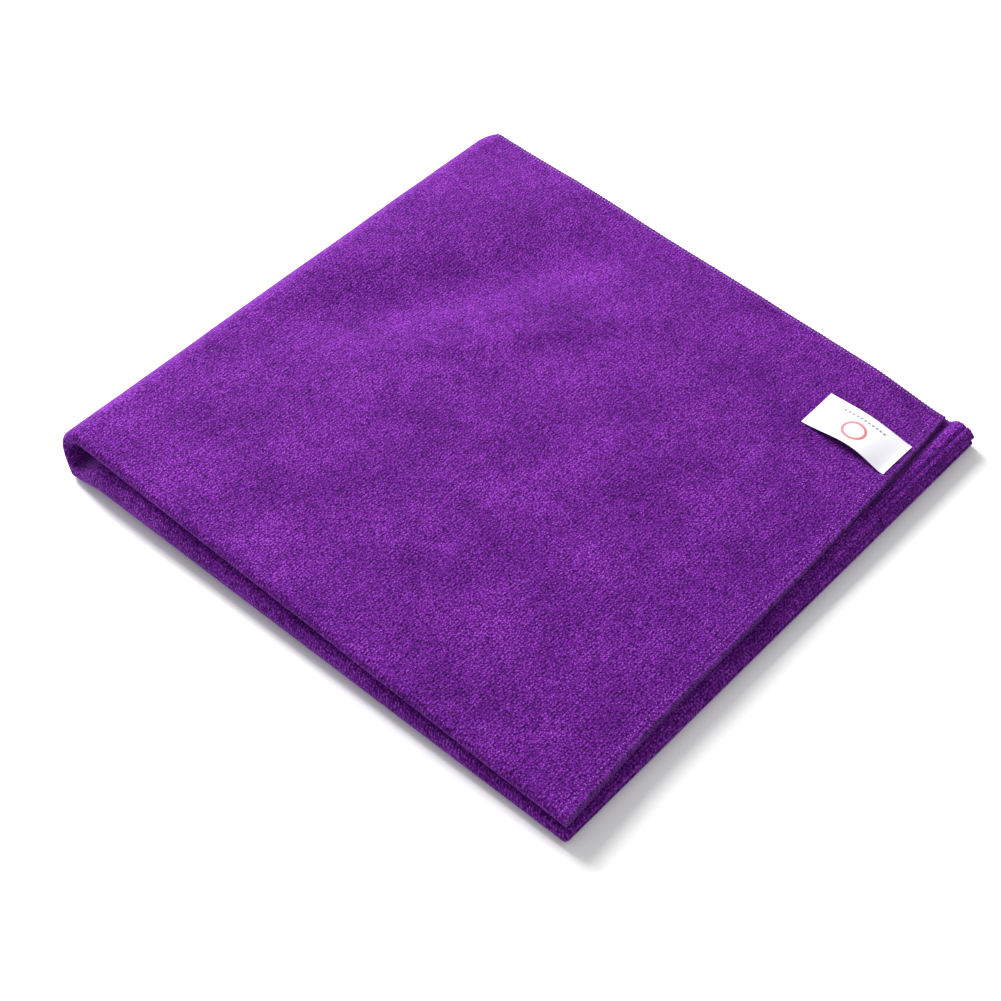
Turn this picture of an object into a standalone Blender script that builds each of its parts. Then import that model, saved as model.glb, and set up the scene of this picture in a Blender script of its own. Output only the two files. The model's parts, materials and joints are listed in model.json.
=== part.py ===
"""A quick dry towel folded into a pad: eight leaves of one terry sheet, with overlocked edges and a label.

The sheet is folded crosswise (the end fold), then lengthwise (the front folds), and last crosswise again
(the bend). The cloth opens at either end of the bend, half of the way at each, round the bend's own axis: the
bend turns on the lower half and the upper half turns on the bend, until it lies flat. The outer and the inner
ply are the two runs of the strip that lie in one another, and each has an upper and a lower leaf.
Metres, +Z up, the origin under the middle of the pad.
"""
import math

import bmesh
import bpy

# The cloth and its edges
CLOTH = 0.0016  # thickness of the terry with its pile
LEAF_GAP = 0.0003  # air between two leaves that lie on each other
CLEARANCE = 0.0003  # gap between two solids that would touch
HEM_WIDTH = 0.0045  # depth of the overlock, from the cut edge inwards

# The bend, whose centre line is the axis it opens round
BEND_RADIUS = 0.0138  # outside of the bend
PUFF_RUN = 0.024  # the way over which the lower half fills out beside the bend
PUFF_SLACK = 0.12  # how far the inner ply falls behind the outer one there, as a share of the filling

# The plan, measured from the bend's axis, and from the upper half's front corner at the bend
UPPER_RUN_FRONT = 0.3490
UPPER_RUN_BACK = 0.3395
LOWER_RUN_FRONT = 0.3520
LOWER_RUN_BACK = 0.3570
UPPER_BACK = 0.3465
LOWER_BACK = 0.3488
UPPER_DRIFT = 0.0072  # how far the upper half's front edge draws in by its far end
PROUD_AT_BEND = 0.0075  # how far the lower half's front stands out past the upper one's
PROUD_AT_END = 0.0030

# The label ribbon
LABEL_LENGTH = 0.0530
LABEL_WIDTH = 0.0286
LABEL_THICKNESS = 0.0003
LABEL_FROM_BACK = 0.0335  # from the upper half's back edge to the nearer side of the label

# Worked out from the sizes above
PITCH = CLOTH + LEAF_GAP
STACK = 4 * CLOTH + 3 * LEAF_GAP
LONGEST_RUN = max(LOWER_RUN_FRONT, LOWER_RUN_BACK)
SLOPE = (2 * BEND_RADIUS - 2 * STACK - LEAF_GAP) / LONGEST_RUN
UPPER_START = CLEARANCE + BEND_RADIUS * SLOPE
BOUND = HEM_WIDTH + CLEARANCE  # how far the cloth stops short of an overlocked edge
PLIES = {"outer": CLOTH / 2, "inner": CLOTH / 2 + PITCH}
CENTRE_X = (LONGEST_RUN - BEND_RADIUS) / 2
CENTRE_Y = (LOWER_BACK - PROUD_AT_BEND) / 2


def steps(first, last, count):
    return [first + (last - first) * step / count for step in range(count + 1)]


# Stations across a ply: 0 to 1 along the upper leaf, 1 to 2 round the front fold, 2 to 3 along the lower leaf
ACROSS = steps(0, 1, 3) + steps(1, 2, 8)[1:-1] + steps(2, 3, 3)
# Stations along the lower half: 0 to 1 beside the bend, 1 to 2 out to the end, 2 to 3 round the end fold, and
# 3 to 5 back again inside
LOWER_ALONG = steps(0, 1, 8) + steps(1, 2, 3)[1:] + steps(2, 3, 6)[1:] + steps(3, 4, 3)[1:] + steps(4, 5, 8)[1:]
UPPER_ALONG = steps(0, 1, 3)
BEND_ALONG = steps(0, 1, 16)
STRIP = [0.0, 1.0]

for old in list(bpy.data.objects):
    bpy.data.objects.remove(old, do_unlink=True)

parts = bpy.data.collections.new("quick_dry_towel")
bpy.context.scene.collection.children.link(parts)


def material(name, colour, roughness):
    made = bpy.data.materials.new(name)
    made.use_nodes = True
    shader = made.node_tree.nodes["Principled BSDF"]
    shader.inputs["Base Color"].default_value = (*colour, 1.0)
    shader.inputs["Roughness"].default_value = roughness
    shader.inputs["Metallic"].default_value = 0.0
    return made


terry = material("purple_microfibre_terry", (0.165, 0.026, 0.330), 0.95)
thread = material("purple_overlock_thread", (0.190, 0.060, 0.330), 0.80)
satin = material("white_satin_ribbon", (0.860, 0.860, 0.870), 0.45)


def axis_empty(name, x, y, z, parent=None):
    empty = bpy.data.objects.new(name, None)
    empty.location = (x - CENTRE_X, y - CENTRE_Y, z)
    empty.empty_display_size = 0.02
    parts.objects.link(empty)
    if parent:
        hang_on(empty, parent)
    return empty


def hang_on(made, axis):
    """Parents a piece to an empty on its joint's axis, and leaves it where it is."""
    made.parent = axis
    made.matrix_parent_inverse = axis.matrix_basis.inverted()


def add(name, shape, finish):
    mesh = bpy.data.meshes.new(name)
    shape.to_mesh(mesh)
    shape.free()
    mesh.materials.append(finish)
    mesh.shade_smooth()
    mesh.set_sharp_from_angle(angle=math.radians(40))
    made = bpy.data.objects.new(name, mesh)
    parts.objects.link(made)
    return made


def sheet(name, across, along, place, finish, axis=None):
    """A slab of cloth: a grid whose points are placed by their stations, thickened equally both ways."""
    grid = bmesh.new()
    bmesh.ops.create_grid(grid, x_segments=len(across) - 1, y_segments=len(along) - 1, size=0.5)
    for vert in grid.verts:
        column = round((vert.co.x + 0.5) * (len(across) - 1))
        row = round((vert.co.y + 0.5) * (len(along) - 1))
        x, y, z = place(across[column], along[row])
        vert.co = (x - CENTRE_X, y - CENTRE_Y, z)
    made = add(name, grid, finish)
    shell = made.modifiers.new("thickness", "SOLIDIFY")
    shell.thickness = CLOTH
    shell.offset = 0.0
    shell.use_even_offset = True
    if axis:
        hang_on(made, axis)


def mix(first, last, share):
    return first + (last - first) * share


def smooth(share):
    share = min(max(share, 0.0), 1.0)
    return share * share * (3 - 2 * share)


def u_point(station, front, back, low, high):
    """A point of a ply's U section: along the upper leaf, round the front fold, back along the lower leaf."""
    radius = (high - low) / 2
    fold_y = front + radius
    if station <= 1:
        return mix(back, fold_y, station), high
    if station >= 2:
        return mix(fold_y, back, station - 2), low
    angle = math.pi * (station - 1)
    return fold_y - radius * math.sin(angle), low + radius + radius * math.cos(angle)


# --- upper half: two plies that slope down from the top of the bend to their overlocked ends ---


def upper_top(x):
    return 2 * BEND_RADIUS - SLOPE * x


def upper_end(y):
    return mix(UPPER_RUN_FRONT, UPPER_RUN_BACK, y / UPPER_BACK)


def upper_point(across, along, depth, back, short=0.0):
    """A point of the upper half: along runs from the bend to short of the end, depth inwards from outside."""
    y = 0.0
    for _ in range(3):
        x = mix(UPPER_START, upper_end(y) - short, along)
        high = upper_top(x) - depth
        low = upper_top(x) - STACK + depth
        y, z = u_point(across, UPPER_DRIFT * along + depth, back, low, high)
    return x, y, z


bend_axis = axis_empty("bend_axis", 0.0, UPPER_BACK / 2, BEND_RADIUS)
upper_axis = axis_empty("upper_axis", 0.0, UPPER_BACK / 2, BEND_RADIUS, bend_axis)

for ply, depth in PLIES.items():

    def cloth_place(across, along, depth=depth):
        return upper_point(across, along, depth, UPPER_BACK - BOUND, BOUND)

    def end_place(across, along, depth=depth):
        x, y, z = upper_point(across, 1.0, depth, UPPER_BACK)
        return x - HEM_WIDTH * along, y, z

    sheet(f"upper_{ply}_ply", ACROSS, UPPER_ALONG, cloth_place, terry, upper_axis)
    sheet(f"end_overlock_{ply}", ACROSS, STRIP, end_place, thread, upper_axis)

    for leaf_name, leaf in (("top", 0.0), ("under", 3.0)):

        def edge_place(across, along, depth=depth, leaf=leaf):
            x, y, z = upper_point(leaf, along, depth, UPPER_BACK, BOUND)
            return x, y - HEM_WIDTH * across, z

        sheet(f"upper_edge_overlock_{ply}_{leaf_name}", STRIP, UPPER_ALONG, edge_place, thread, upper_axis)

# --- lower half: both plies in one piece of cloth, joined by the fold at their far end ---


def lower_top(x):
    """Top of the lower half: low beside the bend, then up to the upper half, and down with it to the end."""
    under_upper = upper_top(x) - STACK - LEAF_GAP
    return mix(STACK, under_upper, smooth((x - CLEARANCE) / PUFF_RUN))


def lower_end(y):
    return mix(LOWER_RUN_FRONT, LOWER_RUN_BACK, y / LOWER_BACK) - (CLOTH + PITCH) / 2


def lower_front(x):
    share = x / UPPER_RUN_FRONT
    return UPPER_DRIFT * share - mix(PROUD_AT_BEND, PROUD_AT_END, share)


def lower_leaf_point(across, along, ply, back):
    y = 0.0
    puffed = CLEARANCE + PUFF_RUN
    for _ in range(3):
        x = mix(CLEARANCE, puffed, along) if along <= 1 else mix(puffed, lower_end(y), along - 1)
        top = lower_top(x)
        depth = PLIES[ply]
        slack = PUFF_SLACK * (top - STACK) if ply == "inner" else 0.0
        y, z = u_point(across, lower_front(x) + depth + slack, back, depth, top - depth - slack)
    return x, y, z


def lower_point(across, along, back):
    if along <= 2:
        return lower_leaf_point(across, along, "outer", back)
    if along >= 3:
        return lower_leaf_point(across, 5 - along, "inner", back)
    outer = lower_leaf_point(across, 2.0, "outer", back)
    inner = lower_leaf_point(across, 2.0, "inner", back)
    turn = math.pi * (along - 2)
    x, y, z = (mix(first, last, (1 - math.cos(turn)) / 2) for first, last in zip(outer, inner))
    return x + PITCH / 2 * math.sin(turn), y, z


def lower_cloth_place(across, along):
    return lower_point(across, along, LOWER_BACK - BOUND)


sheet("lower_plies", ACROSS, LOWER_ALONG, lower_cloth_place, terry)

for leaf_name, leaf in (("top", 0.0), ("under", 3.0)):

    def lower_edge_place(across, along, leaf=leaf):
        x, y, z = lower_point(leaf, along, LOWER_BACK)
        return x, y - HEM_WIDTH * across, z

    sheet(f"lower_edge_overlock_{leaf_name}", STRIP, LOWER_ALONG, lower_edge_place, thread)

# --- bend: the two plies carried round from the lower half to the upper one, on the axis between them ---


def bend_point(across, along, depth, short=0.0):
    """A point of the bend: along runs from the lower half, round the -X side, to the upper half."""
    front = mix(-PROUD_AT_BEND, 0.0, along) + depth
    back = mix(LOWER_BACK, UPPER_BACK, along) - short
    y, radius = u_point(across, front, back, BEND_RADIUS - STACK + depth, BEND_RADIUS - depth)
    turn = math.pi * along
    return -radius * math.sin(turn), y, BEND_RADIUS - radius * math.cos(turn)


for ply, depth in PLIES.items():

    def bend_place(across, along, depth=depth):
        return bend_point(across, along, depth, BOUND)

    sheet(f"bend_{ply}_ply", ACROSS, BEND_ALONG, bend_place, terry, bend_axis)

    for leaf_name, leaf in (("outside", 0.0), ("inside", 3.0)):

        def bend_edge_place(across, along, depth=depth, leaf=leaf):
            x, y, z = bend_point(leaf, along, depth)
            return x, y - HEM_WIDTH * across, z

        sheet(f"bend_edge_overlock_{ply}_{leaf_name}", STRIP, BEND_ALONG, bend_edge_place, thread, bend_axis)

# --- label: a satin ribbon on the upper half, caught in the end overlock along one short side ---

label_back = UPPER_BACK - LABEL_FROM_BACK
label_x = min(upper_end(label_back), upper_end(label_back - LABEL_WIDTH)) - BOUND
label_z = upper_top(label_x) + CLEARANCE + LABEL_THICKNESS / 2
label_axis = axis_empty("label_axis", label_x, label_back - LABEL_WIDTH / 2, label_z, upper_axis)

ribbon = bmesh.new()
bmesh.ops.create_cube(ribbon, size=1.0)
bmesh.ops.translate(ribbon, verts=ribbon.verts, vec=(-0.5, 0.0, 0.0))
bmesh.ops.scale(ribbon, verts=ribbon.verts, vec=(LABEL_LENGTH, LABEL_WIDTH, LABEL_THICKNESS))
label = add("label", ribbon, satin)
label.parent = label_axis
label.rotation_euler = (0.0, math.atan(SLOPE), 0.0)
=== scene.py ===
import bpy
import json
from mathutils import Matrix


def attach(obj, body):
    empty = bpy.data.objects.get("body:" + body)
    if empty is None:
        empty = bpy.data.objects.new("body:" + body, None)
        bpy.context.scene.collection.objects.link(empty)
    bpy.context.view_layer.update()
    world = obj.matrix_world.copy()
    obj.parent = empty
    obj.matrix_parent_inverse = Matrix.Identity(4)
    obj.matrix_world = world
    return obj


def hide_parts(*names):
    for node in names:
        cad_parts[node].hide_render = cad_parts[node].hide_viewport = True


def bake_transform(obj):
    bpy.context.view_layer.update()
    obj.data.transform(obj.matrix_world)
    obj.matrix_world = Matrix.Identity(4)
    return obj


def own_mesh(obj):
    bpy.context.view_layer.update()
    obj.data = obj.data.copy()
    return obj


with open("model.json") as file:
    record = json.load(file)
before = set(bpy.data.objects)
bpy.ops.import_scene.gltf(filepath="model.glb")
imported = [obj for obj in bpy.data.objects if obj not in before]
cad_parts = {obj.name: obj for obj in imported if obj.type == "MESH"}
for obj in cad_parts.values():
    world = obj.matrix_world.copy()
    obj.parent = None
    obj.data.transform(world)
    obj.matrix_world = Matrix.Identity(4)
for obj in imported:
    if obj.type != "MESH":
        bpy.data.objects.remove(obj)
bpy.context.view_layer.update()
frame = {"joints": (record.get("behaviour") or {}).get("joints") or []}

import json
import math

import bmesh
import bpy
from mathutils import Vector, noise

# --- Lower half ---
# The towel is one sheet of microfibre terry, folded twice into a long pad and then bent over on itself.
# This is the half that lies on the table: two plies, one inside the other, both carried round the front fold
# and joined by the fold at their far end. Beside the bend it fills out to meet the upper half.
CLOTH = 0.0016  # one leaf, with its pile
LEAF_GAP = 0.0003
PITCH = CLOTH + LEAF_GAP
STACK = 4 * CLOTH + 3 * LEAF_GAP  # the four leaves of a half
DEPTHS = {"outer": CLOTH / 2, "inner": CLOTH / 2 + PITCH}
EDGE_INSET = 0.0006  # the cut edge of a leaf lies this far inside its overlock

roll = next(joint for joint in frame["joints"] if joint["name"] == "bend_roll")
BEND_X, BEND_Y, BEND_RADIUS = roll["pos_m"]
UPPER_BACK = 0.3465  # from the front fold to the cut edges at the back
LOWER_BACK = 0.3488
FRONT_Y = BEND_Y - UPPER_BACK / 2
LOWER_RUN_FRONT = 0.3520  # from the bend to the far end
LOWER_RUN_BACK = 0.3570
UPPER_DRIFT = 0.0072  # how much further back the front folds lie at the far end than at the bend
PROUD_AT_BEND = 0.0075  # how far the lower front fold stands out from under the upper one
PROUD_AT_END = 0.0030
PUFF_RUN = 0.0240  # beside the bend, where the lower half fills out to meet the upper one
PUFF_SLACK = 0.12
SLOPE = (2 * BEND_RADIUS - 2 * STACK - LEAF_GAP) / LOWER_RUN_BACK


def mix(first, last, share):
    return first + (last - first) * share


def smooth(share):
    share = min(max(share, 0.0), 1.0)
    return share * share * (3 - 2 * share)


def ease(value, start, length):
    """Rises from 0 at start to 1 a length further on. A negative length runs the other way."""
    return smooth((value - start) / length)


def steps(first, last, count):
    return [first + (last - first) * step / count for step in range(count + 1)]


# The form of the upper half comes first, because the lower one follows it where they touch.
HEM_RUN = 0.3490  # from the bend to the hem, along the front
HEM_PULL = 0.0030  # how far the front fold draws the hem back, over its reach
PULL_REACH = 0.0800
HEM_SKEW = 0.0010
HEM_BOW = 0.0070


def upper_end(y):
    """Where the upper half ends: its hem runs back in a slight bow."""
    share = y / UPPER_BACK
    return HEM_RUN - HEM_PULL * smooth(y / PULL_REACH) - HEM_SKEW * share - HEM_BOW * max(share, 0.0) ** 4


def furrow(x, y, start, run, width, height, comes, goes):
    """A slanting hollow or crease. It comes and goes at a share of its run, over another share of it."""
    along = (y - start[1]) / run[1]
    across = x - (start[0] + run[0] * along)
    return height * ease(along, *comes) * ease(along, *goes) * math.exp(-((across / width) ** 2))


DROOP_AT_BEND = 0.0012
DROOP_AT_HEM = 0.0036
UNEVEN = 0.00050
RIPPLE = 0.00022


def lie(x, y):
    """How far the soft upper half stands above or below its plain slope."""
    x = max(x, 0.0)
    # the hollow that runs slantwise beside the bend, where the leaves settle into the room inside it
    hollow = furrow(x, y, start=(0.0060, 0.0950), run=(0.0870, 0.1870), width=0.0290, height=-0.0062,
                    comes=(0.08, 0.42), goes=(1.45, -0.60))
    height = hollow * ease(x, -0.0060, 0.0360)
    # the low crease beyond it
    height += furrow(x, y, start=(0.1010, 0.1900), run=(0.0560, 0.0800), width=0.0100, height=0.0009,
                     comes=(-0.50, 0.50), goes=(1.60, -0.50))
    # the back corners, which droop: a little at the bend, and more at the hem, down onto the lower half
    height -= DROOP_AT_BEND * ease(y, 0.3020, 0.0450) * (1 - smooth(x / 0.0700))
    height -= DROOP_AT_HEM * ease(y, 0.2850, 0.0600) * ease(x, 0.2850, 0.0500)
    # the cloth's own unevenness
    height += UNEVEN * noise.noise((x / 0.040, y / 0.060, 3.7))
    height += RIPPLE * noise.noise((x / 0.014, y / 0.018, 9.1))
    return height


def upper_top(x):
    return 2 * BEND_RADIUS - SLOPE * x


def u_point(station, front, back, low, high):
    """A point of a ply's U section: along the upper leaf, round the front fold, back along the lower leaf."""
    radius = (high - low) / 2
    fold_y = front + radius
    if station <= 1:
        return mix(back, fold_y, station), high
    if station >= 2:
        return mix(fold_y, back, station - 2), low
    angle = math.pi * (station - 1)
    return fold_y - radius * math.sin(angle), low + radius + radius * math.cos(angle)


def lower_top(x):
    under_upper = upper_top(x) - STACK - LEAF_GAP
    return mix(STACK, under_upper, smooth(x / PUFF_RUN))


def lower_end(y):
    return mix(LOWER_RUN_FRONT, LOWER_RUN_BACK, y / LOWER_BACK) - (CLOTH + PITCH) / 2


def lower_front(x):
    share = x / LOWER_RUN_FRONT
    return UPPER_DRIFT * share - mix(PROUD_AT_BEND, PROUD_AT_END, share)


ROLL_HEIGHT = 0.0046
ROLL_INWARDS = 0.0065  # from the end to the roll's middle
ROLL_HALF_WIDTH = 0.0062
CREASE_DEPTH = 0.0013
CREASE_INWARDS = 0.0046
CREASE_HALF_WIDTH = 0.0010


def end_swell(x, y):
    """The roll of cloth along the far end, where the lower half comes out from under the upper one."""
    free = lower_end(y) - upper_end(y)
    inwards = lower_end(y) - x
    swell = ROLL_HEIGHT * ease(free, 0.0020, 0.0100)
    crease = CREASE_DEPTH * ease(free, 0.0060, 0.0060)
    return (swell * math.exp(-(((inwards - ROLL_INWARDS) / ROLL_HALF_WIDTH) ** 4))
            - crease * math.exp(-(((inwards - CREASE_INWARDS) / CREASE_HALF_WIDTH) ** 2)))


SETTLE_RUN = 0.0200  # before the hem, where the lower half stops following the upper one


def lower_leaf_point(across, along, ply, back):
    """A point of a leaf of the lower half. Its x and its y depend on each other, so it takes a few rounds."""
    y = 0.0
    for _ in range(3):
        x = mix(0.0, PUFF_RUN, along) if along <= 1 else mix(PUFF_RUN, lower_end(y), along - 1)
        top = lower_top(x)
        depth = DEPTHS[ply]
        slack = PUFF_SLACK * (top - STACK) if ply == "inner" else 0.0
        y, z = u_point(across, lower_front(x) + depth + slack, back, depth, top - depth - slack)
    settled = lie(x, y) * smooth(x / PUFF_RUN) * (1 - ease(x, upper_end(y) - SETTLE_RUN, SETTLE_RUN))
    lift = (settled + end_swell(x, y)) * min(max((z - depth) / (top - 2 * depth), 0.0), 1.0)
    return x, y, z + lift


def lower_point(across, along, back):
    """Along runs 0 to 1 beside the bend, 1 to 2 out to the end, 2 to 3 round the end fold, 3 to 5 back."""
    if along <= 2:
        return lower_leaf_point(across, along, "outer", back)
    if along >= 3:
        return lower_leaf_point(across, 5 - along, "inner", back)
    outer = lower_leaf_point(across, 2.0, "outer", back)
    inner = lower_leaf_point(across, 2.0, "inner", back)
    turn = math.pi * (along - 2)
    x, y, z = (mix(first, last, (1 - math.cos(turn)) / 2) for first, last in zip(outer, inner))
    return x + PITCH / 2 * math.sin(turn), y, z


def cloth(name, across, along, place, finish, thickness=CLOTH):
    """A leaf of cloth: a grid placed by its stations, with the cloth's own lengths as its UV map."""
    shape = bmesh.new()
    bmesh.ops.create_grid(shape, x_segments=len(across) - 1, y_segments=len(along) - 1, size=0.5)
    spots = {}
    for vert in shape.verts:
        column = round((vert.co.x + 0.5) * (len(across) - 1))
        row = round((vert.co.y + 0.5) * (len(along) - 1))
        x, y, z = place(across[column], along[row])
        vert.co = (x + BEND_X, y + FRONT_Y, z)
        spots[column, row] = vert
    lengths = {}
    for row in range(len(along)):
        reach = 0.0
        for column in range(len(across)):
            here = spots[column, row].co
            if column:
                reach += (here - spots[column - 1, row].co).length
            run = lengths[column, row - 1][1] + (here - spots[column, row - 1].co).length if row else 0.0
            lengths[column, row] = (reach, run)
    by_vert = {vert: lengths[spot] for spot, vert in spots.items()}
    uv = shape.loops.layers.uv.new("cloth")
    for face in shape.faces:
        for loop in face.loops:
            loop[uv].uv = by_vert[loop.vert]
    for edge in shape.edges:
        edge.smooth = not edge.is_boundary
    made = piece(name, shape, finish)
    shell = made.modifiers.new("thickness", "SOLIDIFY")
    shell.thickness = thickness
    shell.offset = 0.0
    shell.use_even_offset = True
    # the thickness is made part of the mesh, in place of the modifier
    single = made.data
    made.data = bpy.data.meshes.new_from_object(made.evaluated_get(bpy.context.evaluated_depsgraph_get()))
    made.modifiers.clear()
    bpy.data.meshes.remove(single)
    made.data.name = name
    return made


def piece(name, shape, finish):
    mesh = bpy.data.meshes.new(name)
    shape.to_mesh(mesh)
    shape.free()
    mesh.materials.append(finish)
    mesh.shade_smooth()
    made = bpy.data.objects.new(name, mesh)
    bpy.context.scene.collection.objects.link(made)
    return made


def colour(code):
    """An sRGB hex colour as linear light."""
    parts = [int(code[start:start + 2], 16) / 255 for start in (0, 2, 4)]
    return (*[part / 12.92 if part <= 0.04045 else ((part + 0.055) / 1.055) ** 2.4 for part in parts], 1.0)


def add(material, kind, settings=None, **links):
    """Adds a node: its settings, a ramp's stops, and its inputs as values or as other nodes' outputs."""
    made = material.node_tree.nodes.new(kind)
    settings = dict(settings or {})
    stops = settings.pop("stops", ())
    for key, value in settings.items():
        setattr(made, key, value)
    if stops:
        elements = made.color_ramp.elements
        elements[0].position, elements[0].color = stops[0]
        elements[1].position, elements[1].color = stops[-1]
        for place, shade in stops[1:-1]:
            elements.new(place).color = shade
    for key, value in links.items():
        socket = made.inputs[int(key[1:])] if key[1:].isdigit() else made.inputs[key.replace("_", " ")]
        if isinstance(value, bpy.types.NodeSocket):
            material.node_tree.links.new(value, socket)
        else:
            socket.default_value = value
    return made


def blank(name):
    made = bpy.data.materials.new(name)
    made.use_nodes = True
    made.node_tree.nodes.clear()
    return made


LOOP_SIZE = 0.0011  # one tuft of pile
LOOP_STRAY = 0.0012  # how far tufts stand out of line, and over what length that changes
STRAY_OVER = 0.0020
FIBRE = 0.0010
WALE = 0.0019  # from one row of loops to the next
BAND = math.pi / 10  # the scale at which a wave texture has one band in a metre
TUFT = 0.0060  # patches where the pile lies together
BRUSHED = 0.0380  # broad patches where it has been stroked another way
PILE_DEPTH = 0.0014

# Warp-knitted microfibre terry, split polyester and polyamide: short soft loops that stand close together.
# The eye gets a fine grain of light tips and dark gaps, a trace of rows, broad patches where the pile was
# stroked another way, and a lilac bloom where the cloth turns away.
terry = blank("warp_knit_microfibre_terry")
place_on_cloth = add(terry, "ShaderNodeUVMap", {"uv_map": "cloth"}).outputs["UV"]
bent = add(terry, "ShaderNodeTexNoise", Vector=place_on_cloth, Scale=1 / STRAY_OVER, Detail=1.0)
jitter = add(terry, "ShaderNodeVectorMath", {"operation": "SCALE"}, _0=bent.outputs["Color"],
             Scale=LOOP_STRAY)
strewn = add(terry, "ShaderNodeVectorMath", {"operation": "ADD"}, _0=place_on_cloth,
             _1=jitter.outputs["Vector"])
loops = add(terry, "ShaderNodeTexVoronoi", Vector=strewn.outputs["Vector"], Scale=1 / LOOP_SIZE)
tips = add(terry, "ShaderNodeMath", {"operation": "SUBTRACT"}, _0=1.0, _1=loops.outputs["Distance"])
fibres = add(terry, "ShaderNodeTexNoise", Vector=place_on_cloth, Scale=1 / FIBRE, Detail=2.0, Roughness=0.7)
wales = add(terry, "ShaderNodeTexWave", {"bands_direction": "Y"}, Vector=place_on_cloth,
            Scale=BAND / WALE, Distortion=1.2, Detail=2.0, Detail_Scale=3.0)
tufts = add(terry, "ShaderNodeTexNoise", Vector=place_on_cloth, Scale=1 / TUFT, Detail=2.0)
brushed = add(terry, "ShaderNodeTexNoise", Vector=place_on_cloth, Scale=1 / BRUSHED, Detail=3.0)
grain = tips.outputs["Value"]
for layer, share in ((fibres, 0.42), (wales, 0.08), (tufts, 0.14), (brushed, 0.16)):
    grain = add(terry, "ShaderNodeMix", {"data_type": "FLOAT"}, Factor=share,
                _2=grain, _3=layer.outputs["Fac"]).outputs[0]
dyes = ((0.36, colour("26033f")), (0.55, colour("631783")), (0.74, colour("a855cc")))
dyed = add(terry, "ShaderNodeValToRGB", {"stops": dyes}, Fac=grain)
pile = add(terry, "ShaderNodeBump", Height=grain, Strength=0.9, Distance=PILE_DEPTH)
skin = add(terry, "ShaderNodeBsdfPrincipled", Base_Color=dyed.outputs["Color"], Roughness=0.95,
           Specular_IOR_Level=0.08, Sheen_Weight=0.90, Sheen_Roughness=0.30, Sheen_Tint=colour("c070f0"),
           Normal=pile.outputs["Normal"])
add(terry, "ShaderNodeOutputMaterial", Surface=skin.outputs["BSDF"])

LEAF_WIDTH = 0.3450  # of any leaf, near enough to work out how many steps its mesh needs
TOP_LEAF_STEP = 0.0025  # the mesh is finer on the broad top leaf, which shows the most
HIDDEN_STEP = 0.0060
ROLL_STATION = 1.93  # from here to 2, the roll at the far end


def across_stations(upper_step, fold_steps):
    """Stations of a ply's U section: over the upper leaf, round the front fold, and over the lower leaf."""
    upper_leaf = steps(0, 1, round(LEAF_WIDTH / upper_step))
    lower_leaf = steps(2, 3, round(LEAF_WIDTH / HIDDEN_STEP))
    return upper_leaf + steps(1, 2, fold_steps)[1:] + lower_leaf[1:]


ACROSS_FINE = across_stations(TOP_LEAF_STEP, 20)
ACROSS_COARSE = across_stations(HIDDEN_STEP, 14)
LOWER_OUT = steps(0, 1, 16) + steps(1, ROLL_STATION, 66)[1:] + steps(ROLL_STATION, 2, 28)[1:]
LOWER_ALONG = LOWER_OUT + steps(2, 3, 8)[1:] + [5 - station for station in reversed(LOWER_OUT)][1:]

lower_cloth = cloth("lower_half_cloth", ACROSS_COARSE, LOWER_ALONG,
                    lambda across, along: lower_point(across, along, LOWER_BACK - EDGE_INSET), terry)
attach(lower_cloth, "lower_half")
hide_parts("lower_plies")

# --- Overlock ---
# The towel's cut edges are bound by an overlock: two looper threads that wrap the edge in close slanting
# bars, and a needle thread that holds them 4.5 mm in. Each leaf's edge at the back carries its own.
OVERLOCK_WIDTH = 0.0045
OVERLOCK_SHOWN = 0.0014  # further in, the pile has closed over it
OVERLOCK_HALF = 0.00092  # half its thickness
SUNK_SHARE = 0.35  # how much of that the pile hides, and over what length it closes
SINK_RUN = 0.0008
STITCH = 0.0021  # along the edge, from one bar to the next
STEPS_PER_STITCH = 4
THREAD_SLANT = 0.9  # how far a bar leans along the edge over the overlock's width, in stitches
BETWEEN_BARS, ON_BAR = 0.80, 1.08  # the thickness there, as a share of the whole
EDGE_PROUD = 0.0002  # the thread's turn past the cut edge, and how much further a bar reaches
BAR_PROUD = 0.00035
FLAT_FACES = 1.7  # how much squarer than round the section is
SECTION = 16  # points round it
FLUFF = 0.0009  # the yarn's own unevenness, and how deep it is
FLUFF_DEPTH = 0.0004

# Textured polyester looper thread, dyed with the cloth: a fluffy matt yarn, dark between its bars.
thread = blank("textured_polyester_overlock_thread")
place_on_cloth = add(thread, "ShaderNodeUVMap", {"uv_map": "cloth"}).outputs["UV"]
fluff = add(thread, "ShaderNodeTexNoise", Vector=place_on_cloth, Scale=1 / FLUFF, Detail=2.0)
dyes = ((0.38, colour("26043a")), (0.62, colour("763098")))
spun = add(thread, "ShaderNodeValToRGB", {"stops": dyes}, Fac=fluff.outputs["Fac"])
twist = add(thread, "ShaderNodeBump", Height=fluff.outputs["Fac"], Strength=0.5, Distance=FLUFF_DEPTH)
skin = add(thread, "ShaderNodeBsdfPrincipled", Base_Color=spun.outputs["Color"], Roughness=0.85,
           Specular_IOR_Level=0.12, Sheen_Weight=0.15, Sheen_Tint=colour("c9a0ea"),
           Normal=twist.outputs["Normal"])
add(thread, "ShaderNodeOutputMaterial", Surface=skin.outputs["BSDF"])


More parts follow.
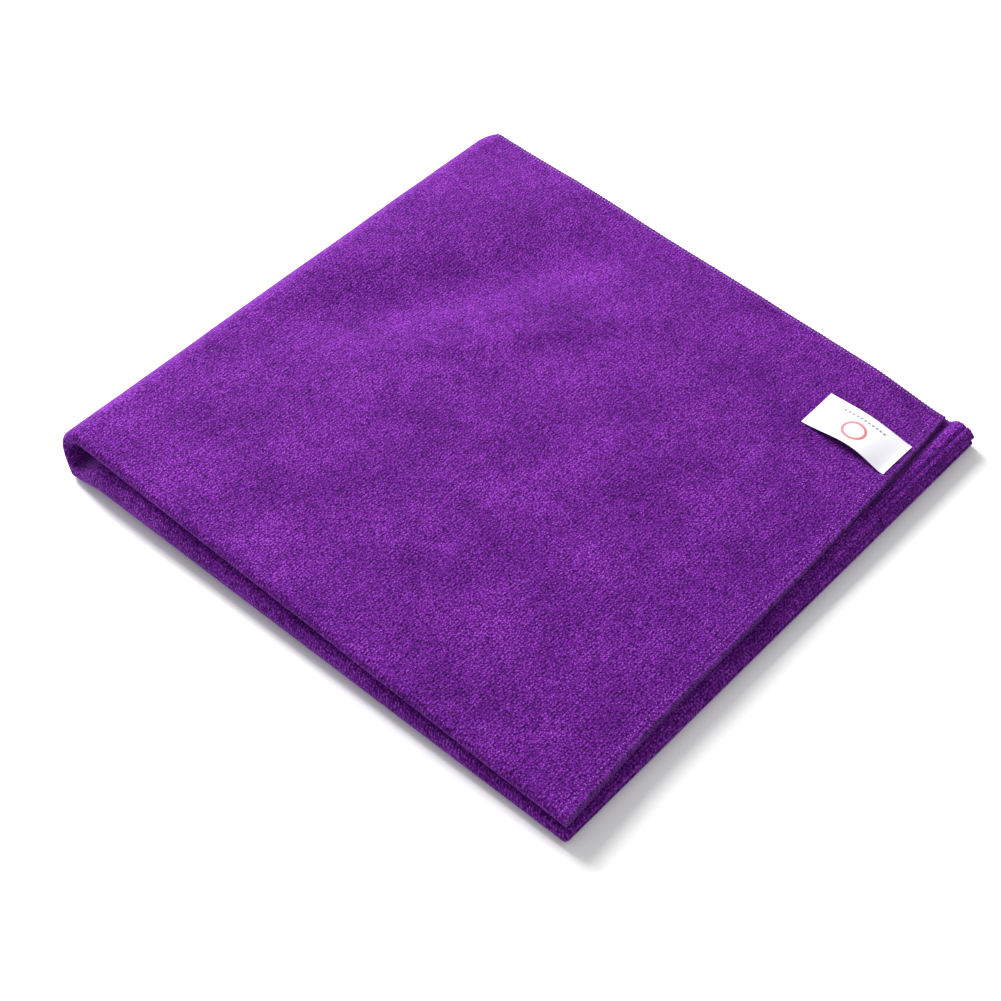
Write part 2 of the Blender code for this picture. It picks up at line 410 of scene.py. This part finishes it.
def overlock(name, path, inwards):
    """A bound edge: a closed sleeve along a path of edge points, reaching inwards over the cloth."""
    path = [Vector(point) for point in path]
    lengths = [0.0]
    for first, last in zip(path, path[1:]):
        lengths.append(lengths[-1] + (last - first).length)
    count = round(lengths[-1] / STITCH) * STEPS_PER_STITCH
    shape = bmesh.new()
    bmesh.ops.create_grid(shape, x_segments=SECTION, y_segments=count, size=0.5)
    uv = shape.loops.layers.uv.new("cloth")
    segment = 0
    frames = []
    for row in range(count + 1):
        reach = lengths[-1] * row / count
        while segment < len(path) - 2 and lengths[segment + 1] < reach:
            segment += 1
        share = (reach - lengths[segment]) / max(lengths[segment + 1] - lengths[segment], 1e-9)
        centre = path[segment].lerp(path[segment + 1], share)
        ahead = (path[min(segment + 2, len(path) - 1)] - path[max(segment - 1, 0)]).normalized()
        frames.append((reach, centre, ahead.cross(inwards).normalized()))
    for vert in shape.verts:
        column = round((vert.co.x + 0.5) * SECTION)
        row = round((vert.co.y + 0.5) * count)
        reach, centre, up = frames[row]
        angle = 2 * math.pi * column / SECTION
        inset = (1 - math.cos(angle)) / 2
        lean = THREAD_SLANT * inset * (1 if angle < math.pi else -1)
        bar = 0.5 + 0.5 * math.cos(2 * math.pi * (reach / STITCH + lean))
        edge = mix(EDGE_PROUD + BAR_PROUD * bar, -OVERLOCK_WIDTH, inset)
        half = OVERLOCK_HALF * mix(BETWEEN_BARS, ON_BAR, bar)
        half *= 1 - SUNK_SHARE * ease(-edge, OVERLOCK_SHOWN, SINK_RUN)
        lift = half * math.copysign(min(abs(math.sin(angle)) * FLAT_FACES, 1.0), math.sin(angle))
        vert.co = centre - inwards * edge + up * lift
    for face in shape.faces:
        for loop in face.loops:
            row, column = divmod(loop.vert.index, SECTION + 1)
            loop[uv].uv = (OVERLOCK_WIDTH * column / SECTION, row * STITCH / STEPS_PER_STITCH)
    bmesh.ops.remove_doubles(shape, verts=shape.verts, dist=0.00001)
    bmesh.ops.holes_fill(shape, edges=shape.edges, sides=SECTION + 2)
    bmesh.ops.recalc_face_normals(shape, faces=shape.faces)
    return piece(name, shape, thread)


def at_place(point):
    x, y, z = point
    return (x + BEND_X, y + FRONT_Y, z)


TOWARDS_FRONT = Vector((0, -1, 0))
bindings = []
for leaf_name, leaf in (("top", 0.0), ("under", 3.0)):
    edge = [at_place(lower_point(leaf, along, LOWER_BACK)) for along in LOWER_ALONG]
    binding = overlock(f"lower_half_overlock_{leaf_name}", edge, TOWARDS_FRONT)
    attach(binding, "lower_half")
    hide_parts(f"lower_edge_overlock_{leaf_name}")
    bindings.append(binding)

# --- Bend ---
# Where the folded strip turns back over itself: the four leaves go round in a soft C and leave a hollow
# inside. It is made in two quarters, the one under and the one over.
QUARTERS = {"under": (0.0, 0.5, "lower_half", "bend"), "over": (0.5, 1.0, "bend", "upper_half")}
QUARTER_STEPS = 14
EDGE_STEPS = 24
ROUNDED_CORNER = 0.0048  # how far the back edge draws in where the bend turns
SAG = 0.0007  # how unevenly it stands out, and how much less it does at its back corner
CORNER_SAG = 0.0040
REACH_AT_TOP = 1.06  # how far out the bend stands, as a share of its radius
REACH_LOSS = 0.24  # how much less at half its height, and twice that at the foot


def bend_point(across, along, depth, short=0.0):
    """A point of the bend: along runs from the lower half, round the -X side, to the upper half."""
    front = mix(-PROUD_AT_BEND, 0.0, along) + depth
    turn = math.pi * along
    rounded = ROUNDED_CORNER * ease(math.sin(turn), 0.05, 0.70)
    back = mix(LOWER_BACK, UPPER_BACK, along) - short - rounded
    y, radius = u_point(across, front, back, BEND_RADIUS - STACK + depth, BEND_RADIUS - depth)
    lift = lie(0.0, y) * (1 - math.cos(turn)) / 2
    slump = SAG * noise.noise((0.3, y / 0.045, 5.0)) - CORNER_SAG * ease(y, 0.3330, 0.0140) ** 2
    reach = (radius + slump) * (REACH_AT_TOP - REACH_LOSS * (1 + math.cos(turn)))
    return -reach * math.sin(turn), y, BEND_RADIUS - radius * math.cos(turn) + lift


for ply, depth in DEPTHS.items():
    for quarter, (first, last, from_body, to_body) in QUARTERS.items():
        across = ACROSS_FINE if (ply, quarter) == ("outer", "over") else ACROSS_COARSE
        made = cloth(f"bend_{ply}_ply_{quarter}", across, steps(first, last, QUARTER_STEPS),
                     lambda across, along: bend_point(across, along, depth, EDGE_INSET), terry)
        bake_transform(made)
    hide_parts(f"bend_{ply}_ply")
    bindings = {"under": [], "over": []}
    for side, leaf in (("outside", 0.0), ("inside", 3.0)):
        for quarter, (first, last, from_body, to_body) in QUARTERS.items():
            edge = [at_place(bend_point(leaf, along, depth)) for along in steps(first, last, EDGE_STEPS)]
            binding = overlock(f"bend_overlock_{ply}_{side}_{quarter}", edge, TOWARDS_FRONT)
            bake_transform(binding)
            bindings[quarter].append(binding)
        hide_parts(f"bend_edge_overlock_{ply}_{side}")

# --- Upper half ---
# The half that is bent over on top. It is highest at the bend and slopes down to its hem, with one fat
# rounded fold along the front; its broad top leaf has a slanting hollow where it has settled beside the bend.


def upper_point(across, along, depth, back, short=0.0):
    """A point of the upper half: along runs from the bend to the hem, which ends short by the last value."""
    y = 0.0
    for _ in range(3):
        x = mix(0.0, upper_end(y) - short, along)
        high = upper_top(x) - depth
        low = upper_top(x) - STACK + depth
        y, z = u_point(across, UPPER_DRIFT * along + depth, back, low, high)
    return x, y, z + lie(x, y)


EDGE_ALONG = steps(0, 1, round(LEAF_WIDTH / TOP_LEAF_STEP))
uppers = {}
for ply, depth in DEPTHS.items():
    across_steps = ACROSS_FINE if ply == "outer" else ACROSS_COARSE
    along_steps = steps(0, 1, round(LEAF_WIDTH / (TOP_LEAF_STEP if ply == "outer" else HIDDEN_STEP)))
    back = UPPER_BACK - EDGE_INSET
    uppers[ply] = cloth(f"upper_half_{ply}_ply", across_steps, along_steps,
                        lambda across, along: upper_point(across, along, depth, back, EDGE_INSET), terry)
    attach(uppers[ply], "upper_half")
    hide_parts(f"upper_{ply}_ply")
    bindings = []
    for leaf_name, leaf in (("top", 0.0), ("under", 3.0)):
        edge = [at_place(upper_point(leaf, along, depth, UPPER_BACK)) for along in EDGE_ALONG]
        binding = overlock(f"upper_half_overlock_{ply}_{leaf_name}", edge, TOWARDS_FRONT)
        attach(binding, "upper_half")
        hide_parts(f"upper_edge_overlock_{ply}_{leaf_name}")
        bindings.append(binding)
    edge = [at_place(upper_point(across, 1.0, depth, UPPER_BACK)) for across in across_steps]
    binding = overlock(f"hem_overlock_{ply}", edge, Vector((-1, 0, 0)))
    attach(binding, "upper_half")
    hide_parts(f"end_overlock_{ply}")

# --- Needle thread ---
# The overlock's needle thread, spun polyester, is paler than its loopers. It shows as dots set back from the
# hem, and as a fine line beside the back edge, each stitch lying half sunk in the pile of the top leaf.
NEEDLE_THREAD = 0.00022
IN_PILE = CLOTH / 2 - 0.0001  # above the middle of the leaf
HEM_ROW_INWARDS = 0.0047
HEM_ROW_SHORT = 0.0060  # it stops this far from the back edge
BACK_ROW_INWARDS = 0.0019  # it lies nearer the edge there than at the hem

# Spun polyester sewing thread: matt and even, so that a stitch is one pale spot to the eye.
lilac = blank("pale_lilac_needle_thread")
skin = add(lilac, "ShaderNodeBsdfPrincipled", Base_Color=colour("a27cbd"), Roughness=0.7)
add(lilac, "ShaderNodeOutputMaterial", Surface=skin.outputs["BSDF"])


def needle_row(name, path, pitch, length):
    """The needle thread's stitches along a path, as a row of short closed bodies that lie in the pile."""
    path = [Vector(point) for point in path]
    shape = bmesh.new()
    reach = 0.0
    for first, last in zip(path, path[1:]):
        ahead = last - first
        while reach < ahead.length:
            centre = first + ahead * (reach / ahead.length)
            made = bmesh.ops.create_icosphere(shape, subdivisions=1, radius=1.0)["verts"]
            bmesh.ops.scale(shape, verts=made, vec=(length / 2, NEEDLE_THREAD, NEEDLE_THREAD))
            bmesh.ops.rotate(shape, verts=made, matrix=ahead.to_track_quat("X", "Z").to_matrix())
            bmesh.ops.translate(shape, verts=made, vec=centre)
            reach += pitch
        reach -= ahead.length
    return piece(name, shape, lilac)


depth = DEPTHS["outer"] - IN_PILE
hem_row = [at_place(upper_point(across, 1.0, depth, UPPER_BACK - HEM_ROW_SHORT, HEM_ROW_INWARDS))
           for across in steps(0.0, 1.0, 120)]
back_row = [at_place(upper_point(0.0, along, depth, UPPER_BACK - BACK_ROW_INWARDS)) for along in EDGE_ALONG]
for name, row, pitch, length in (("hem", hem_row, 0.0030, 0.0011), ("back", back_row, STITCH, 0.0015)):
    stitches = needle_row(f"needle_stitches_{name}", row, pitch, length)
    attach(stitches, "upper_half")

# --- Label ---
# A white satin ribbon, woven of polyester, with its raw end caught under the hem's overlock and its other
# end free. It arches a little where it springs away from the cloth.
LABEL_LENGTH = 0.0530
LABEL_WIDTH = 0.0286
LABEL_THICKNESS = 0.0003
LABEL_SEWN_IN = 0.0022
LABEL_CLEAR = 0.0002  # above the pile where it lies down
ARCH_BACK, ARCH_FRONT = 0.0025, 0.0050  # how high it arches along its two long sides
flap = next(joint for joint in frame["joints"] if joint["name"] == "label_flap")
LABEL_X, LABEL_Y, LABEL_Z = flap["pos_m"]

WEFT = 0.0006  # from one thread to the next, drawn coarser than it is so that it shows
WEFT_DEPTH = 0.0001
RING_CENTRE = (0.0168, 0.0290, 0.0)  # across and along the ribbon
RING_RADIUS = 0.0066
RING_HALF_LINE = 0.0009
ROW_ACROSS = 0.0056  # the row of dashes
ROW_HALF_HEIGHT = 0.0007
ROW_HALF_LENGTH = 0.0150
DASH_PITCH = 0.0026
DASH_HALF = 0.0008
INK_COVER = 0.85  # the white shows through it a little

# Satin ribbon of bright polyester: white, smooth and a little glossy, with a trace of its weft. The print is
# a plain one in place of a maker's: a muted red ring, and a row of grey dashes beside the back long side.
satin = blank("woven_polyester_satin_ribbon")
place_on_cloth = add(satin, "ShaderNodeUVMap", {"uv_map": "cloth"}).outputs["UV"]
weft = add(satin, "ShaderNodeTexWave", {"bands_direction": "X"}, Vector=place_on_cloth,
           Scale=BAND / WEFT, Distortion=0.6)
whites = ((0.0, colour("d9d8de")), (1.0, colour("e9e8ee")))
floats = add(satin, "ShaderNodeValToRGB", {"stops": whites}, Fac=weft.outputs["Fac"])
from_centre = add(satin, "ShaderNodeVectorMath", {"operation": "DISTANCE"}, _0=place_on_cloth, _1=RING_CENTRE)
ring = add(satin, "ShaderNodeMath", {"operation": "COMPARE"}, _0=from_centre.outputs["Value"],
           _1=RING_RADIUS, _2=RING_HALF_LINE)
spots = add(satin, "ShaderNodeSeparateXYZ", Vector=place_on_cloth)
in_row = add(satin, "ShaderNodeMath", {"operation": "COMPARE"}, _0=spots.outputs["X"],
             _1=ROW_ACROSS, _2=ROW_HALF_HEIGHT)
in_length = add(satin, "ShaderNodeMath", {"operation": "COMPARE"}, _0=spots.outputs["Y"],
                _1=RING_CENTRE[1], _2=ROW_HALF_LENGTH)
beat = add(satin, "ShaderNodeMath", {"operation": "PINGPONG"}, _0=spots.outputs["Y"], _1=DASH_PITCH / 2)
dashes = add(satin, "ShaderNodeMath", {"operation": "LESS_THAN"}, _0=beat.outputs["Value"], _1=DASH_HALF)
for limit in (in_row, in_length):
    dashes = add(satin, "ShaderNodeMath", {"operation": "MULTIPLY"}, _0=dashes.outputs["Value"],
                 _1=limit.outputs["Value"])
inked = floats.outputs["Color"]
for ink, where in (("c04552", ring), ("5a5f75", dashes)):
    cover = add(satin, "ShaderNodeMath", {"operation": "MULTIPLY"}, _0=where.outputs["Value"], _1=INK_COVER)
    inked = add(satin, "ShaderNodeMix", {"data_type": "RGBA"}, _0=cover.outputs["Value"], _6=inked,
                _7=colour(ink)).outputs[2]
weave = add(satin, "ShaderNodeBump", Height=weft.outputs["Fac"], Strength=0.25, Distance=WEFT_DEPTH)
skin = add(satin, "ShaderNodeBsdfPrincipled", Base_Color=inked, Roughness=0.45, Sheen_Weight=0.1,
           Normal=weave.outputs["Normal"])
add(satin, "ShaderNodeOutputMaterial", Surface=skin.outputs["BSDF"])


def label_point(across, along):
    """Across runs from the back long side to the front one, along from the seam to the free end."""
    reach = -LABEL_SEWN_IN + (LABEL_LENGTH + LABEL_SEWN_IN) * along
    share = max(reach, 0.0) / LABEL_LENGTH
    arch = math.sin(math.pi * share ** 0.85) ** 1.5
    x = LABEL_X - BEND_X - reach * math.cos(math.atan(SLOPE))
    y = LABEL_Y - FRONT_Y + LABEL_WIDTH * (0.5 - across)
    ground = upper_top(x) + lie(x, y) + LABEL_THICKNESS / 2 + LABEL_CLEAR
    return x, y, ground + arch * mix(ARCH_BACK, ARCH_FRONT, across)


label = cloth("label_ribbon", steps(0, 1, 14), steps(0, 1, 40), label_point, satin, LABEL_THICKNESS)
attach(label, "label")
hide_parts("label")
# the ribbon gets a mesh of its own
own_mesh(label)

# --- Studio ---
# A pale seamless table, a large soft light from beyond the bend with a low one under it, and white walls all
# round. The camera looks down over the front corner between the front folds and the hem.
FLOOR_BELOW = 0.0006
table = bmesh.new()
bmesh.ops.create_grid(table, x_segments=1, y_segments=1, size=4.0)
bmesh.ops.translate(table, verts=table.verts, vec=(0, 0, -FLOOR_BELOW))
card = blank("matt_white_studio_card")
skin = add(card, "ShaderNodeBsdfPrincipled", Base_Color=colour("f6f6f6"), Roughness=0.9)
add(card, "ShaderNodeOutputMaterial", Surface=skin.outputs["BSDF"])
floor = piece("floor", table, card)


def stand(name, data, azimuth, elevation, distance, target=(0.0, 0.0, 0.0)):
    """Stands a lamp or a camera off from a target, facing it. Azimuth 0 is in front, at -Y."""
    turn, rise = math.radians(azimuth), math.radians(elevation)
    away = Vector((math.sin(turn) * math.cos(rise), -math.cos(turn) * math.cos(rise), math.sin(rise)))
    made = bpy.data.objects.new(name, data)
    made.location = Vector(target) + away * distance
    made.rotation_mode = "QUATERNION"
    made.rotation_quaternion = (-away).to_track_quat("-Z", "Y")
    bpy.context.scene.collection.objects.link(made)
    return made


for name, power, size, place in (("key", 60.0, 0.9, (-104, 34, 1.7)), ("rim", 30.0, 0.8, (-98, 9, 1.5))):
    lamp = bpy.data.lights.new(name, "AREA")
    lamp.energy = power
    lamp.shape = "DISK"
    lamp.size = size
    stand(name, lamp, *place)

world = bpy.data.worlds.new("white_walls")
world.use_nodes = True
world.node_tree.nodes["Background"].inputs["Color"].default_value = (1.0, 1.0, 1.0, 1.0)
world.node_tree.nodes["Background"].inputs["Strength"].default_value = 0.64
bpy.context.scene.world = world
bpy.context.scene.view_settings.view_transform = "Standard"

camera_data = bpy.data.cameras.new("camera")
camera_data.sensor_width = 36.0  # both in millimetres
camera_data.lens = 64.7353
bpy.context.scene.camera = stand("camera", camera_data, 42.25, 51.0, 0.991, target=(0.0153, -0.03035, 0.0))
